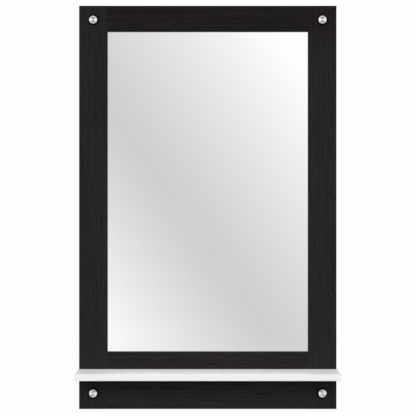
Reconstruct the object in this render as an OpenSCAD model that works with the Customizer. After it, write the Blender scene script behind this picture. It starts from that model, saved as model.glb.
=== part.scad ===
// Wall mirror in a flat dark frame, with a white shelf across its lower rail.
// Four screws pass through the corners into the wall, and a round cap screws on over each of them.
// Origin: the middle of the four wall holes, on the wall. +Z is up, +X is to the viewer's right,
// and the front faces -Y, so the frame's back lies on the plane y = 0.

/* [Frame] */
// Width of the frame over both stiles
frame_w = 600; // [500:10:800]
// Height of the frame
frame_h = 940; // [800:10:1200]
// Thickness of the frame boards
frame_t = 18; // [18:1:22]
// Face width of each stile
stile_w = 66; // [60:1:90]
// Face height of the top rail
top_rail_h = 60; // [55:1:90]
// Face height of the bottom rail, which carries the shelf
bottom_rail_h = 133; // [125:1:180]
// Radius of the eased front edges
arris_r = 0.8; // [0.4:0.1:1.5]

/* [Mirror and back] */
// Thickness of the mirror glass
glass_t = 4; // [3:1:5]
// How far the glass rebate runs in behind the frame's face
glass_rebate_w = 8; // [7:1:10]
// Room between the glass and its rebate, at the sides and at the top
glass_play = 2; // [1:0.5:3]
// Thickness of the foam tape behind the glass
tape_t = 1; // [0.5:0.5:2]
// Width of the foam tape
tape_w = 8; // [6:1:12]
// Thickness of the backing board
board_t = 3; // [3:0.5:4]
// How far the backing board's rebate runs past the glass rebate
board_lap = 14; // [13:1:18]

/* [Shelf] */
// Length of the shelf, a little over the frame's width
shelf_w = 604; // [500:2:820]
// Depth of the shelf, out from the frame's face
shelf_d = 120; // [90:5:160]
// Thickness of the shelf board
shelf_t = 15; // [15:1:19]
// Height of the shelf's underside over the frame's bottom edge
shelf_from_bottom = 78; // [72:1:84]

/* [Wall fixings] */
// Distance from the frame's side edge to a wall hole
hole_from_side = 33; // [28:1:38]
// Distance from the frame's top edge to a wall hole
hole_from_top = 33; // [28:1:36]
// Distance from the frame's bottom edge to a wall hole
hole_from_bottom = 37; // [28:1:40]
// Diameter of the clearance hole for a wall screw
hole_d = 5.5; // [4.5:0.5:6]

/* [Caps] */
// Diameter of a cap
cap_d = 19.2; // [18.4:0.2:21]
// Height of a cap's front over the frame's face
cap_h = 7; // [6.6:0.1:9]
// Radius of the shoulder round a cap's front
cap_shoulder_r = 1.8; // [1.6:0.1:2.6]
// Pitch of the thread between a cap and its seat
thread_pitch = 1; // [0.75:0.25:1.25]
// Diameter of the washer under a cap
washer_d = 26; // [22:0.5:27]
// Thickness of the washer
washer_t = 0.8; // [0.6:0.1:1.2]

/* [Hidden] */
CORNERS = [
    ["top_left", -1, 1],
    ["top_right", 1, 1],
    ["bottom_left", -1, -1],
    ["bottom_right", 1, -1]
];
$fn = 64;
// A hair's overlap for cuts and joins, and how far a cutter runs on past what it cuts
eps = 0.01;
past = 1;

// Frame outline and the opening in it
hole_x = frame_w / 2 - hole_from_side;
hole_z = (frame_h - hole_from_top - hole_from_bottom) / 2;
frame_top = hole_z + hole_from_top;
frame_bottom = -hole_z - hole_from_bottom;
open_x = frame_w / 2 - stile_w;
open_top = frame_top - top_rail_h;
open_bottom = frame_bottom + bottom_rail_h;

// Rebates in the back of the frame, one for the glass and a shallower, wider one for the board
glass_back_y = -board_t - tape_t;
glass_front_y = glass_back_y - glass_t;
board_rebate_w = glass_rebate_w + board_lap;

// Pieces that lie in the rebates
glass_x = open_x + glass_rebate_w - glass_play;
glass_top = open_top + glass_rebate_w - glass_play;
pad_t = 2;
pad_w = 30;
glass_bottom = open_bottom - glass_rebate_w + pad_t;
board_play = 1;
board_x = open_x + board_rebate_w - board_play;
board_top = open_top + board_rebate_w - board_play;
board_bottom = open_bottom - board_rebate_w + board_play;

// Shelf board, screwed on from behind the frame
shelf_bottom = frame_bottom + shelf_from_bottom;
shelf_mid_z = shelf_bottom + shelf_t / 2;
shelf_arris_r = 1;

// Dowels, glued in holes that are a little wider and longer
dowel_r = 3.95;
dowel_hole_r = 4;
dowel_end_room = 1;
rail_dowel_l = 38;
top_dowel_rise = 2;
top_dowel_reach = 16;
top_dowel_z = [for (k = [-1, 1]) frame_top - top_rail_h / 2 + top_dowel_rise + k * top_dowel_reach];
dowel_inset = 18;
bottom_dowel_z = [open_bottom - dowel_inset, shelf_mid_z - dowel_inset, frame_bottom + dowel_inset];
shelf_dowel_l = 30;
shelf_dowel_in_frame = 10;
shelf_dowel_share = 0.46;
shelf_dowel_x = [for (side = [-1, 1]) side * open_x * shelf_dowel_share];

// Shelf screws: two long flat-headed screws in each half of the rail, and one in each stile
shelf_screw_shares = [0.235, 0.685];
shelf_screw_places = concat([for (share = shelf_screw_shares) open_x * share], [hole_x]);
shelf_screw_x = [for (side = [-1, 1], place = shelf_screw_places) side * place];
shelf_screw_head_r = 5;
shelf_screw_shank_r = 3.5;
shelf_screw_core_r = 2.45;
shelf_screw_sink = 1;
shelf_screw_cone = 1.5;
shelf_screw_reach = 34;
shelf_screw_play = 0.1;
shelf_screw_tip_l = 3;
shelf_screw_tip_r = 0.8;
shelf_pilot_play = 0.05;
hex_socket_r = 2.3;
hex_socket_depth = 2.5;

// Backing screws, on the line halfway across the board's lap
board_screw_head_r = 3;
board_screw_shank_r = 1.5;
board_screw_l = 13;
board_screw_play = 0.1;
board_screw_tip_l = 2;
board_screw_tip_r = 0.2;
cross_slot_w = 0.7;
cross_slot_l = 3.2;
cross_slot_depth = 1;
board_line_x = open_x + glass_rebate_w + board_lap / 2;
board_line_top = open_top + glass_rebate_w + board_lap / 2;
board_line_bottom = open_bottom - glass_rebate_w - board_lap / 2;
board_corner_gap = 68;
board_side_gaps = 3;
board_side_step = (board_top - board_bottom - 2 * board_corner_gap) / board_side_gaps;
board_side_z = [for (k = [0:board_side_gaps]) board_bottom + board_corner_gap + k * board_side_step];
board_end_share = 0.6;
board_end_x = [for (k = [-1:1]) k * open_x * board_end_share];
board_screw_places = concat(
    [for (side = [-1, 1], z = board_side_z) [side * board_line_x, z]],
    [for (x = board_end_x, z = [board_line_bottom, board_line_top]) [x, z]]
);

// Cap fixings, measured out from the frame's face
thread_r = 7.4;
thread_depth = 0.4;
thread_play = 0.1;
seat_h = 4.4;
seat_shoulder = 4;
seat_end_room = 0.2;
seat_barrel_r = 4.9;
seat_barrel_hole_r = 5;
seat_barrel_l = frame_t - seat_shoulder - seat_end_room;
seat_chamfer = 0.5;
countersink_r = 5;
// One ring of the seat's thread, as [depth, share of the pitch]
thread_ring = [[0, 0], [thread_depth, 0.3], [thread_depth, 0.5], [0, 0.8]];
washer_bore_r = 7.7;
turn_gap = 0.05;
cap_foot = washer_t + turn_gap;
cap_bore_depth = 5.2;

// Places a cap fixing on the frame's face at a corner, its axis out of the front
module at_corner(c) {
    translate([c[1] * hole_x, -frame_t, c[2] * hole_z])
        rotate([90, 0, 0])
            children();
}

// A round hole or peg along Y, from y = from forward to y = to, tapered if its front has its own radius
module along_y(x, z, from, to, r, r_front = undef) {
    translate([x, from, z])
        rotate([90, 0, 0])
            cylinder(h = from - to, r1 = r, r2 = is_undef(r_front) ? r : r_front);
}

// Section of a board: its back on y = 0, its width along x, and its two front edges eased
module board_section(w, t, r) {
    translate([0, -t + r])
        square([w, t - r]);
    translate([r, -t])
        square([w - 2 * r, t]);
    for (x = [r, w - r])
        translate([x, -t + r])
            circle(r);
}

// A board standing up, from z = low, its left edge at x = left
module upright(left, low, w, h) {
    translate([left, 0, low])
        linear_extrude(h)
            board_section(w, frame_t, arris_r);
}

// A board lying across, from x = left, its lower edge at z = low
module crosswise(left, low, l, h) {
    translate([left, 0, low + h])
        rotate([0, 90, 0])
            linear_extrude(l)
                board_section(h, frame_t, arris_r);
}

// The two steps cut into the frame's back round the opening
module rebates() {
    for (step = [[glass_rebate_w, -glass_front_y], [board_rebate_w, board_t]])
        translate([-open_x - step[0], -step[1], open_bottom - step[0]])
            cube([2 * (open_x + step[0]), step[1] + eps, open_top - open_bottom + 2 * step[0]]);
}

// Dowel holes or dowels across both joints between a rail and the stiles
module rail_dowels(levels, r, l) {
    for (side = [-1, 1], z = levels)
        translate([side * open_x - l / 2, -frame_t / 2, z])
            rotate([0, 90, 0])
                cylinder(h = l, r = r);
}

// Holes for the dowels between the frame's face and the shelf
module shelf_dowel_holes() {
    room = dowel_end_room;
    for (x = shelf_dowel_x)
        along_y(x, shelf_mid_z, shelf_dowel_in_frame - frame_t + room,
            shelf_dowel_in_frame - frame_t - shelf_dowel_l - room, dowel_hole_r);
}

// One shelf screw, or with play the hole that it passes through in the frame
module shelf_screw_form(x, play) {
    head_r = shelf_screw_head_r + play;
    shank_r = shelf_screw_shank_r + play;
    cone_end = -shelf_screw_sink - shelf_screw_cone;
    along_y(x, shelf_mid_z, -shelf_screw_sink, cone_end, head_r, shank_r);
    along_y(x, shelf_mid_z, cone_end + eps, -frame_t, shank_r);
}

module shelf_screw_holes() {
    play = shelf_screw_play;
    for (x = shelf_screw_x) {
        shelf_screw_form(x, play);
        along_y(x, shelf_mid_z, past, -shelf_screw_sink, shelf_screw_head_r + play);
        along_y(x, shelf_mid_z, -frame_t / 2, -frame_t - past, shelf_screw_shank_r + play);
    }
}

// Holes that the backing screws need, through the board and into the frame
module backing_screw_holes() {
    play = board_screw_play;
    cone_h = board_screw_head_r / 2;
    for (p = board_screw_places) {
        along_y(p[0], p[1], 0, -cone_h, board_screw_head_r + play, board_screw_head_r / 2 + play);
        along_y(p[0], p[1], past, -board_screw_l - past, board_screw_shank_r + play);
    }
}

// The stepped hole at a corner: narrow at the wall for the screw, wide in front for the cap seat
module wall_hole(side, level) {
    x = side * hole_x;
    z = level * hole_z;
    along_y(x, z, past, -frame_t, hole_d / 2);
    along_y(x, z, -seat_shoulder, -frame_t - past, seat_barrel_hole_r);
}

// Stile: a dark laminated board over the frame's whole height
module stile(side) {
    color([0.15, 0.14, 0.15])
        difference() {
            upright(side < 0 ? -frame_w / 2 : open_x, frame_bottom, stile_w, frame_h);
            rebates();
            rail_dowels(concat(top_dowel_z, bottom_dowel_z), dowel_hole_r, rail_dowel_l + 2 * dowel_end_room);
            shelf_screw_holes();
            backing_screw_holes();
            for (level = [-1, 1])
                wall_hole(side, level);
        }
}

// Top rail: a dark laminated board between the stiles
module top_rail() {
    color([0.13, 0.12, 0.12])
        difference() {
            crosswise(-open_x, open_top, 2 * open_x, top_rail_h);
            rebates();
            rail_dowels(top_dowel_z, dowel_hole_r, rail_dowel_l + 2 * dowel_end_room);
            backing_screw_holes();
        }
}

// Bottom rail: the same board, tall enough to carry the shelf
module bottom_rail() {
    color([0.13, 0.12, 0.12])
        difference() {
            crosswise(-open_x, frame_bottom, 2 * open_x, bottom_rail_h);
            rebates();
            rail_dowels(bottom_dowel_z, dowel_hole_r, rail_dowel_l + 2 * dowel_end_room);
            shelf_dowel_holes();
            shelf_screw_holes();
            backing_screw_holes();
        }
}

// Mirror pane, standing on two pads in its rebate
module mirror_glass() {
    color([0.9, 0.92, 0.92])
        translate([-glass_x, glass_front_y, glass_bottom])
            cube([2 * glass_x, glass_t, glass_top - glass_bottom]);
}

// Setting pads under the pane's lower edge
module glass_pads() {
    color([0.1, 0.1, 0.1])
        for (side = [-1, 1])
            translate([side * glass_x / 2 - pad_w / 2, glass_front_y, glass_bottom - pad_t])
                cube([pad_w, glass_t, pad_t]);
}

// Four strips of foam tape that press the pane forward against the frame's lip
module foam_tape() {
    inner_h = glass_top - glass_bottom - 2 * tape_w;
    color([0.2, 0.2, 0.2]) {
        for (z = [glass_bottom, glass_top - tape_w])
            translate([-glass_x, glass_back_y, z])
                cube([2 * glass_x, tape_t, tape_w]);
        for (x = [-glass_x, glass_x - tape_w])
            translate([x, glass_back_y, glass_bottom + tape_w])
                cube([tape_w, tape_t, inner_h]);
    }
}

// Hardboard back, flush with the frame's back
module backing_board() {
    color([0.48, 0.34, 0.22])
        difference() {
            translate([-board_x, -board_t, board_bottom])
                cube([2 * board_x, board_t, board_top - board_bottom]);
            backing_screw_holes();
        }
}

// Cross-slotted screws round the backing board
module backing_screws() {
    cone_end = -board_screw_head_r / 2;
    tip = board_screw_tip_l - board_screw_l;
    color([0.75, 0.72, 0.6])
        for (p = board_screw_places)
            difference() {
                union() {
                    along_y(p[0], p[1], 0, cone_end, board_screw_head_r, board_screw_head_r / 2);
                    along_y(p[0], p[1], cone_end + eps, tip, board_screw_shank_r);
                    along_y(p[0], p[1], tip, -board_screw_l, board_screw_shank_r, board_screw_tip_r);
                }
                for (size = [[cross_slot_l, cross_slot_w], [cross_slot_w, cross_slot_l]])
                    translate([p[0] - size[0] / 2, -cross_slot_depth, p[1] - size[1] / 2])
                        cube([size[0], cross_slot_depth + past, size[1]]);
            }
}

// Dowels that locate the rails between the stiles
module top_rail_dowels() {
    color([0.8, 0.68, 0.5])
        rail_dowels(top_dowel_z, dowel_r, rail_dowel_l);
}

module bottom_rail_dowels() {
    color([0.8, 0.68, 0.5])
        rail_dowels(bottom_dowel_z, dowel_r, rail_dowel_l);
}

// Shelf: a white lacquered board whose back edge butts against the frame's face
module shelf() {
    color([0.94, 0.94, 0.94])
        difference() {
            translate([-shelf_w / 2, -frame_t, shelf_bottom + shelf_t])
                rotate([0, 90, 0])
                    linear_extrude(shelf_w)
                        board_section(shelf_t, shelf_d, shelf_arris_r);
            shelf_dowel_holes();
            for (x = shelf_screw_x)
                along_y(x, shelf_mid_z, past - frame_t, -frame_t - shelf_screw_reach - past,
                    shelf_screw_core_r + shelf_pilot_play);
        }
}

// Dowels that keep the shelf level on the frame
module shelf_dowels() {
    from = shelf_dowel_in_frame - frame_t;
    color([0.8, 0.68, 0.5])
        for (x = shelf_dowel_x)
            along_y(x, shelf_mid_z, from, from - shelf_dowel_l, dowel_r);
}

// Screws through the frame into the shelf's back edge, with a six-sided socket in the head
module shelf_screws() {
    end = -frame_t - shelf_screw_reach;
    tip = end + shelf_screw_tip_l;
    color([0.72, 0.72, 0.7])
        for (x = shelf_screw_x)
            difference() {
                union() {
                    shelf_screw_form(x, 0);
                    along_y(x, shelf_mid_z, -frame_t + eps, tip, shelf_screw_core_r);
                    along_y(x, shelf_mid_z, tip, end, shelf_screw_core_r, shelf_screw_tip_r);
                }
                translate([x, 0, shelf_mid_z])
                    rotate([90, 0, 0])
                        cylinder(h = shelf_screw_sink + hex_socket_depth, r = hex_socket_r, $fn = 6);
            }
}

// Cap seat: a turned plug in the frame, with a ringed rim for the cap and a countersink for the screw
module cap_seat() {
    rings = floor(seat_h / thread_pitch);
    start = seat_h - rings * thread_pitch;
    color([0.72, 0.62, 0.4])
        rotate_extrude()
            polygon(concat(
                [[hole_d / 2, -seat_barrel_l], [seat_barrel_r - seat_chamfer, -seat_barrel_l]],
                [[seat_barrel_r, -seat_barrel_l + seat_chamfer], [seat_barrel_r, 0], [thread_r, 0]],
                [for (k = [0:rings - 1], p = thread_ring)
                    [thread_r - p[0], start + (k + p[1]) * thread_pitch]],
                [[thread_r - thread_depth, seat_h], [countersink_r, seat_h]],
                [[hole_d / 2, seat_h - countersink_r + hole_d / 2]]
            ));
}

// Washer: a flat black ring that travels with the cap
module cap_washer() {
    color([0.05, 0.05, 0.05])
        rotate_extrude()
            translate([washer_bore_r, 0])
                square([washer_d / 2 - washer_bore_r, washer_t]);
}

// Cap: a turned steel shell, its flat front inside a round shoulder, that screws over the seat
module cap() {
    wall_h = cap_h - cap_foot - cap_shoulder_r;
    flat_r = cap_d / 2 - cap_shoulder_r;
    color([0.8, 0.8, 0.8])
        rotate_extrude()
            translate([0, cap_foot])
                difference() {
                    union() {
                        square([cap_d / 2, wall_h]);
                        square([flat_r, wall_h + cap_shoulder_r]);
                        translate([flat_r, wall_h])
                            circle(cap_shoulder_r);
                    }
                    translate([0, -eps])
                        square([thread_r + thread_play, cap_bore_depth + eps]);
                }
}

stile(-1);  // left_stile
stile(1);  // right_stile
top_rail();
bottom_rail();
top_rail_dowels();
bottom_rail_dowels();
mirror_glass();
glass_pads();
foam_tape();
backing_board();
backing_screws();
shelf();
shelf_dowels();
shelf_screws();
for (c = CORNERS) {
    at_corner(c) cap_seat();
    at_corner(c) cap_washer();
    at_corner(c) cap();
}
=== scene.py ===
import math

import bmesh
import bpy
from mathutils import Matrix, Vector


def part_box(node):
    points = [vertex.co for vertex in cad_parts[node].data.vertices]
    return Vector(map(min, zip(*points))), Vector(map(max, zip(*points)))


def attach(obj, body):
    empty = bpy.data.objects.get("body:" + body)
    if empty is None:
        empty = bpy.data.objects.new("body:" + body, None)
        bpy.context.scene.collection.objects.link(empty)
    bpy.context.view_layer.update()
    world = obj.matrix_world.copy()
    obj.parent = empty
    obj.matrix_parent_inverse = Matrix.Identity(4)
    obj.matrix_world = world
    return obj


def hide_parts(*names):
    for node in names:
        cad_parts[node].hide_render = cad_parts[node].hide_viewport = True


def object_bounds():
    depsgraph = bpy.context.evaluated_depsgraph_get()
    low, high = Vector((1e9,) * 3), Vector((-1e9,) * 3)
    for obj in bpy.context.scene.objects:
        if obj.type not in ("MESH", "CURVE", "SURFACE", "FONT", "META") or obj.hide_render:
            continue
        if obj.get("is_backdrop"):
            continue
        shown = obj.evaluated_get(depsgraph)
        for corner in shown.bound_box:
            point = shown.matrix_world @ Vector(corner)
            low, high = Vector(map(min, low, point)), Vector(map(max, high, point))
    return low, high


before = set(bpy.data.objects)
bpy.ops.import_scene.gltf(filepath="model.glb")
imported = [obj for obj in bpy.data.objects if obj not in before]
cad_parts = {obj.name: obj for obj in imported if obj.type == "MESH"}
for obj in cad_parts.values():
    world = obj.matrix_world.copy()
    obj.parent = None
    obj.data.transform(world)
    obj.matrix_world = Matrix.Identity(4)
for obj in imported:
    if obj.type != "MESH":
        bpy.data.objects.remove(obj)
cad_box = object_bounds()
scene = bpy.context.scene
scene.view_settings.view_transform = "Standard"

# ---- Camera ------------------------------------------------------------------
# A long lens, level and straight in front, a little above the middle of the frame. From there the
# shelf's top is a thin strip and every upright stays upright.
FACE_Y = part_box("left_stile")[0].y
FACE_MIDDLE_Z = (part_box("left_stile")[0].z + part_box("left_stile")[1].z) / 2
# the picture's width and the point in its middle, as (x, z), both on the frame's face
PICTURE_WIDTH = 0.9697
PICTURE_MIDDLE = (0.0005, FACE_MIDDLE_Z - 0.0014)
CAMERA_DISTANCE = 4.10
LENS_SHIFT = -0.04

bpy.ops.object.camera_add(rotation=(math.radians(90), 0, 0))
camera = bpy.context.object
camera.name = "camera"
camera_z = PICTURE_MIDDLE[1] - LENS_SHIFT * PICTURE_WIDTH
camera.location = (PICTURE_MIDDLE[0], FACE_Y - CAMERA_DISTANCE, camera_z)
camera.data.lens = camera.data.sensor_width * CAMERA_DISTANCE / PICTURE_WIDTH
camera.data.shift_y = LENS_SHIFT
scene.camera = camera

# ---- Studio light ------------------------------------------------------------
# White paper all round for the eye, and an even grey-white room for the surfaces. One broad soft box
# hangs in front, above the camera, one behind, and a smaller one over the shelf.
PAPER_WHITE = 0.9885
# levels of the room's light and of what gloss shows, and the upward or sideways parts of a
# direction, out of 1, between which they change
ROOM_ABOVE = 0.21
ROOM_BELOW = 0.29
ROOM_CHANGE = (0.05, 0.40)
GLOSS_DIM = 0.20
GLOSS_BRIGHT = PAPER_WHITE
GLOSS_FAR = 0.86
FAR_OFF = (0.50, 0.85)
FLANK_EDGE = 0.16
PANE_FILL = 0.2
# the soft shades that the pane shows from other sides: how quickly they follow one another across
# and up, their middle level and their depth
SHADES_ACROSS = 14.2
SHADES_UP = 10.2
SHADES_LEVEL = 0.87
SHADES_DEPTH = 0.11


def add(tree, kind, inputs=None, **settings):
    """Adds a node with its settings; each input is given a value or, if it is a socket, a link."""
    node = tree.nodes.new(kind if kind.startswith("NodeGroup") else "ShaderNode" + kind)
    for key, value in settings.items():
        setattr(node, key, value)
    for key, value in (inputs or {}).items():
        if isinstance(value, bpy.types.NodeSocket):
            tree.links.new(value, node.inputs[key])
        else:
            node.inputs[key].default_value = value
    return node


def math_node(tree, operation, *values, clamp=False):
    """The result of a Math node."""
    return add(tree, "Math", dict(enumerate(values)), operation=operation, use_clamp=clamp).outputs[0]


def remap(tree, value, low, high, to_low=0.0, to_high=1.0):
    """A smooth step of a value from one range to another."""
    names = ("Value", "From Min", "From Max", "To Min", "To Max")
    inputs = dict(zip(names, (value, low, high, to_low, to_high)))
    return add(tree, "MapRange", inputs, interpolation_type="SMOOTHSTEP").outputs["Result"]


def mix_shaders(tree, share, first, second):
    """The first shader, giving way to the second as the share goes from 0 to 1."""
    return add(tree, "MixShader", {0: share, 1: first, 2: second}).outputs[0]


def grey(value):
    return (value, value, value, 1.0)


studio = bpy.data.worlds.new("studio")
studio.use_nodes = True
scene.world = studio
sky = studio.node_tree
sky.nodes.clear()
direction = add(sky, "SeparateXYZ", {"Vector": add(sky, "TexCoord").outputs["Generated"]}).outputs
sideways = math_node(sky, "ABSOLUTE", direction["X"])
upward = math_node(sky, "ABSOLUTE", direction["Z"])
rays = add(sky, "LightPath").outputs
after_matt = math_node(sky, "MINIMUM", rays["Diffuse Depth"], 1.0)


def white_light(strength):
    return add(sky, "Background", {"Color": grey(1.0), "Strength": strength}).outputs[0]


# what lights the surfaces: a room that is brighter low down, where its pale floor and walls are
room = remap(sky, direction["Z"], *ROOM_CHANGE, ROOM_BELOW, ROOM_ABOVE)

# what gloss shows: bright flanks left and right of the camera, dimmer above and below, and a little
# more of it where the pane throws it on to the matt pieces
flank = remap(sky, math_node(sky, "SUBTRACT", sideways, upward), 0.0, FLANK_EDGE)
flank_level = remap(sky, sideways, *FAR_OFF, GLOSS_BRIGHT, GLOSS_FAR)
zenith = remap(sky, upward, *FAR_OFF, GLOSS_DIM, GLOSS_FAR)
lift = math_node(sky, "MULTIPLY", flank, math_node(sky, "SUBTRACT", flank_level, zenith))
gloss = math_node(sky, "ADD", zenith, lift)
gloss = math_node(sky, "MULTIPLY_ADD", after_matt, PANE_FILL, gloss)

# what is in sight: white paper for the eye, and for the eye in a sharp mirror pale walls with broad
# soft shades slanting across them
before_matt = math_node(sky, "SUBTRACT", 1.0, after_matt)
in_mirror = math_node(sky, "MULTIPLY", rays["Is Singular Ray"], before_matt)
in_sight = math_node(sky, "MAXIMUM", rays["Is Camera Ray"], in_mirror)
slant = math_node(sky, "MULTIPLY", direction["Z"], SHADES_UP)
slant = math_node(sky, "MULTIPLY_ADD", direction["X"], SHADES_ACROSS, slant)
wave = math_node(sky, "SINE", slant)
shades = math_node(sky, "MULTIPLY_ADD", wave, SHADES_DEPTH, SHADES_LEVEL - PAPER_WHITE)
paper = math_node(sky, "MULTIPLY_ADD", in_mirror, shades, PAPER_WHITE)

unseen = mix_shaders(sky, rays["Is Glossy Ray"], white_light(room), white_light(gloss))
seen = mix_shaders(sky, in_sight, unseen, white_light(paper))
add(sky, "OutputWorld", {"Surface": seen})


def soft_box(name, place, tilt, size, watts, spread=180):
    """A rectangular lamp that lights surfaces but isn't mirrored in them. Its angles are in degrees."""
    bpy.ops.object.light_add(type="AREA", location=place, rotation=(math.radians(tilt), 0, 0))
    lamp = bpy.context.object
    lamp.name = name
    lamp.data.shape = "RECTANGLE"
    lamp.data.size, lamp.data.size_y = size
    lamp.data.energy = watts
    lamp.data.spread = math.radians(spread)
    lamp.visible_glossy = False
    lamp.visible_camera = False


soft_box("front_soft_box", place=(0, -5.0, 1.13), tilt=90, size=(4.6, 2.25), watts=243)
soft_box("top_soft_box", place=(0, -0.35, 3.2), tilt=0, size=(2.2, 0.8), watts=73)

# the lamps aren't mirrored, so a lamp at the pane's foot gives the light that it throws on the shelf
THROW_FALL = 27
THROW_RISE = 0.05
THROW_SPREAD = 11
THROW_WATTS = 0.022
OFF_THE_GLASS = 0.001
pane_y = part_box("mirror_glass")[0].y
pane_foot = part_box("bottom_rail")[1].z
opening_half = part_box("right_stile")[0].x
throw_y = pane_y - THROW_RISE / 2 * math.sin(math.radians(THROW_FALL)) - OFF_THE_GLASS
throw_z = pane_foot + THROW_RISE / 2 * math.cos(math.radians(THROW_FALL))
soft_box("pane_throw", place=(0, throw_y, throw_z), tilt=-(90 - THROW_FALL),
         size=(2 * opening_half, THROW_RISE), watts=THROW_WATTS, spread=THROW_SPREAD)
soft_box("rear_soft_box", place=(0, 5.0, 1.2), tilt=-90, size=(4.6, 3.2), watts=150)

# ---- Floor and reflected card ------------------------------------------------
# A round of pale paper under the mirror that fades into the background, and behind the camera a
# card with one soft diagonal shade, which is what the pane shows from the front.
FLOOR_DROP = 0.55
FLOOR_RADIUS = 3.0
FLOOR_FADE = (0.35, 0.97)
FLOOR_BOUNCE = 0.30
PAPER_GRAIN = 90.0
PAPER_TONES = (0.88, 0.91)
NEAR_FOOT = (0.50, 0.95)
floor_z = cad_box[0].z - FLOOR_DROP


def plane(name, centre, half, turn=(0, 0, 0)):
    bpy.ops.mesh.primitive_plane_add(size=2, location=centre, rotation=turn)
    sheet = bpy.context.object
    sheet.name = sheet.data.name = name
    sheet.scale = (half[0], half[1], 1)
    bpy.ops.object.transform_apply(location=True, rotation=True, scale=True)
    sheet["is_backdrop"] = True
    return sheet


def plain_material(name):
    """A new material and its node tree, with nothing in it yet."""
    material = bpy.data.materials.new(name)
    material.use_nodes = True
    material.node_tree.nodes.clear()
    return material, material.node_tree


floor = plane("floor", (0, 0, floor_z), (FLOOR_RADIUS, FLOOR_RADIUS))
paper_floor, tree = plain_material("paper_floor")
where = add(tree, "SeparateXYZ", {"Vector": add(tree, "NewGeometry").outputs["Position"]}).outputs
from_middle = add(tree, "CombineXYZ", {"X": where["X"], "Y": where["Y"]}).outputs[0]
distance = add(tree, "VectorMath", {0: from_middle}, operation="LENGTH").outputs["Value"]
fade = remap(tree, distance, FLOOR_FADE[0] * FLOOR_RADIUS, FLOOR_FADE[1] * FLOOR_RADIUS)
paper_noise = add(tree, "TexNoise", {"Scale": PAPER_GRAIN, "Detail": 4.0}).outputs["Fac"]
paper_inputs = {0: paper_noise, 1: grey(PAPER_TONES[0]), 2: grey(PAPER_TONES[1])}
paper_tone = add(tree, "MixRGB", paper_inputs).outputs[0]
# the eye and the pane see white paper, which throws back the light of a dimmer room; blurred gloss
# sees it white only near the mirror's foot
rays = add(tree, "LightPath").outputs
foot = remap(tree, distance, *NEAR_FOOT, 1.0, 0.0)
in_gloss = math_node(tree, "MULTIPLY", rays["Is Glossy Ray"], foot)
shown = math_node(tree, "MAXIMUM", rays["Is Camera Ray"], rays["Is Singular Ray"])
shown = math_node(tree, "MAXIMUM", shown, in_gloss)
bounced = add(tree, "MixRGB", {0: shown, 1: grey(FLOOR_BOUNCE), 2: paper_tone}).outputs[0]
matt_paper = add(tree, "BsdfDiffuse", {"Color": bounced}).outputs[0]
clear = add(tree, "BsdfTransparent").outputs[0]
add(tree, "OutputMaterial", {"Surface": mix_shaders(tree, fade, matt_paper, clear)})
floor.data.materials.append(paper_floor)

CARD_Y = -6.5
CARD_HALF = (1.15, 1.55)
CARD_CLEAR = (0.66, 0.92)
CARD_MIDDLE = 0.12
# the shade is a valley of light along a line across the pane, z = SHADE_SLOPE * x + SHADE_AT_MIDDLE.
# Its levels are the picture's, 0 to 255, and each rise is for a metre away from the line, beyond
# the rounded bottom of the valley, whose radius is SHADE_SOFTNESS
SHADE_LEVEL = 207.2
SHADE_SLOPE = -1.3983
SHADE_AT_MIDDLE = -0.0939
SHADE_SOFTNESS = 0.043
RISE_RIGHT = 122.6
RISE_LEFT = 154.7
CARD_WHITE = 253.0
PANE_REFLECTS = 0.897

card = plane("reflected_card", (0, CARD_Y, 0), CARD_HALF, (math.radians(90), 0, 0))
card.visible_camera = card.visible_diffuse = card.visible_shadow = False
shaded_card, tree = plain_material("shaded_card")
where = add(tree, "SeparateXYZ", {"Vector": add(tree, "NewGeometry").outputs["Position"]}).outputs
# a patch of the pane shows the camera a part of the card that is this many times the patch's size
spread = 1 + (CARD_Y - pane_y) / (camera.location.y - pane_y)
pane_x = math_node(tree, "DIVIDE", where["X"], spread)
pane_z = math_node(tree, "SUBTRACT", where["Z"], camera.location.z)
pane_z = math_node(tree, "DIVIDE", pane_z, spread)
pane_z = math_node(tree, "ADD", pane_z, camera.location.z)
line_z = math_node(tree, "MULTIPLY_ADD", pane_x, SHADE_SLOPE, SHADE_AT_MIDDLE)
off_line = math_node(tree, "SUBTRACT", pane_z, line_z)
off_line = math_node(tree, "DIVIDE", off_line, math.hypot(1, SHADE_SLOPE))
rounded = math_node(tree, "MULTIPLY_ADD", off_line, off_line, SHADE_SOFTNESS ** 2)
rounded = math_node(tree, "SUBTRACT", math_node(tree, "SQRT", rounded), SHADE_SOFTNESS)
on_right = math_node(tree, "GREATER_THAN", off_line, 0.0)
rise = add(tree, "Mix", {"Factor": on_right, "A": RISE_LEFT, "B": RISE_RIGHT}).outputs[0]
level = math_node(tree, "MULTIPLY_ADD", rounded, rise, SHADE_LEVEL)
level = math_node(tree, "MINIMUM", level, CARD_WHITE)
# from a picture level to the light that shows as it, as sRGB defines it
light = math_node(tree, "ADD", math_node(tree, "DIVIDE", level, 255.0), 0.055)
light = math_node(tree, "POWER", math_node(tree, "DIVIDE", light, 1.055), 2.4)
light = math_node(tree, "DIVIDE", light, PANE_REFLECTS)
card_glow = add(tree, "Emission", {"Strength": light}).outputs[0]
# in the pane the card fades out towards its edges, so that no edge of it shows from other sides
aside = math_node(tree, "ABSOLUTE", where["X"])
above = math_node(tree, "ABSOLUTE", math_node(tree, "SUBTRACT", where["Z"], CARD_MIDDLE))
gone_aside = remap(tree, aside, CARD_CLEAR[0], CARD_HALF[0])
gone_above = remap(tree, above, CARD_CLEAR[1], CARD_HALF[1] - CARD_MIDDLE)
gone = math_node(tree, "MAXIMUM", gone_aside, gone_above)
gone = math_node(tree, "MULTIPLY", gone, add(tree, "LightPath").outputs["Is Singular Ray"])
sheer = add(tree, "BsdfTransparent").outputs[0]
add(tree, "OutputMaterial", {"Surface": mix_shaders(tree, gone, card_glow, sheer)})
card.data.materials.append(shaded_card)

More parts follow.
